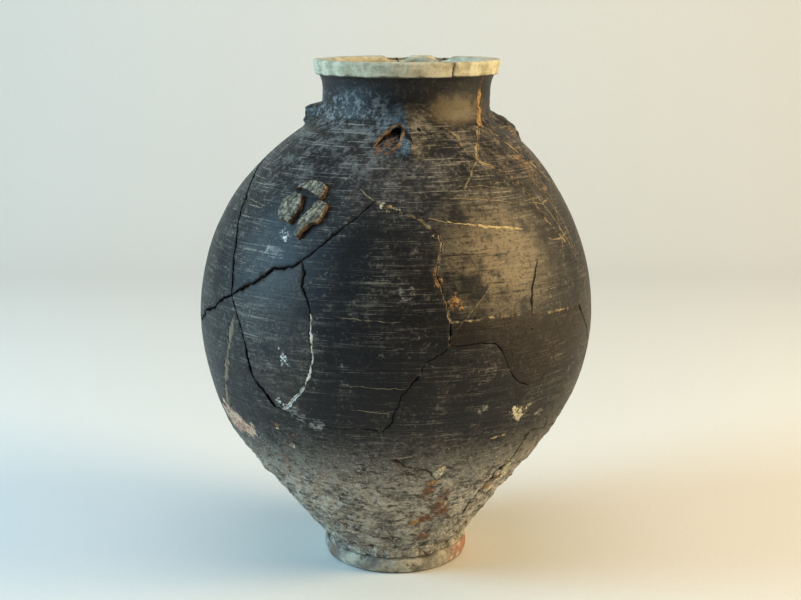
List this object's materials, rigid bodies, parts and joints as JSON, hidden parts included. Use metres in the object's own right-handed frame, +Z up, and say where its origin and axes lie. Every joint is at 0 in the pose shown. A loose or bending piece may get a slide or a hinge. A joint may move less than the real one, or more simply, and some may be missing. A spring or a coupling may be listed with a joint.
{
  "type": "mended pithos storage jar",
  "caption": "Mended clay storage jar with an egg-shaped belly, short slumped neck, collared rim, small ring foot and pinched neck lugs, rebuilt from glued sherds with filled cracks.",
  "frame": {"origin": "bottom centre of the foot ring, on the body's axis", "axes": "+Z up along the body's axis; -Y is the front with the pierced lug; +X is the side the neck has slumped to"},
  "size_m": [0.3, 0.3, 0.389],
  "materials": {
    "grey_ware": "burnished, worn",
    "worn_ware": "matt, pitted",
    "rim_slip": "matt",
    "stump_clay": "rough, broken",
    "brown_fill": "matt",
    "white_fill": "matt",
    "ochre_fill": "matt"
  },
  "bodies": {
    "root": {"shoulder_front": "grey_ware", "shoulder_left": "grey_ware", "shoulder_wedge": "grey_ware", "shoulder_right": "grey_ware", "shoulder_far_right": "grey_ware", "shoulder_back_right": "grey_ware", "shoulder_back_left": "grey_ware", "belly_shield": "grey_ware", "belly_left": "grey_ware", "belly_far_left": "grey_ware", "belly_front": "grey_ware", "belly_band": "grey_ware", "belly_right": "grey_ware", "belly_back_right": "grey_ware", "belly_back_left": "grey_ware", "neck_front": "grey_ware", "neck_back": "grey_ware", "lug_front": "grey_ware", "lug_right": "grey_ware", "lug_back": "grey_ware", "lug_left": "grey_ware", "lower_left": "worn_ware", "lower_front": "worn_ware", "lower_right": "worn_ware", "lower_back": "worn_ware", "foot_ring": "worn_ware", "floor_slab": "worn_ware", "rim_left": "rim_slip", "rim_right": "rim_slip", "rim_back": "rim_slip", "stump_top": "stump_clay", "stump_left": "stump_clay", "stump_right": "stump_clay", "fill_brown": "brown_fill", "fill_white": "white_fill", "fill_neck": "ochre_fill"}
  },
  "joints": []
}
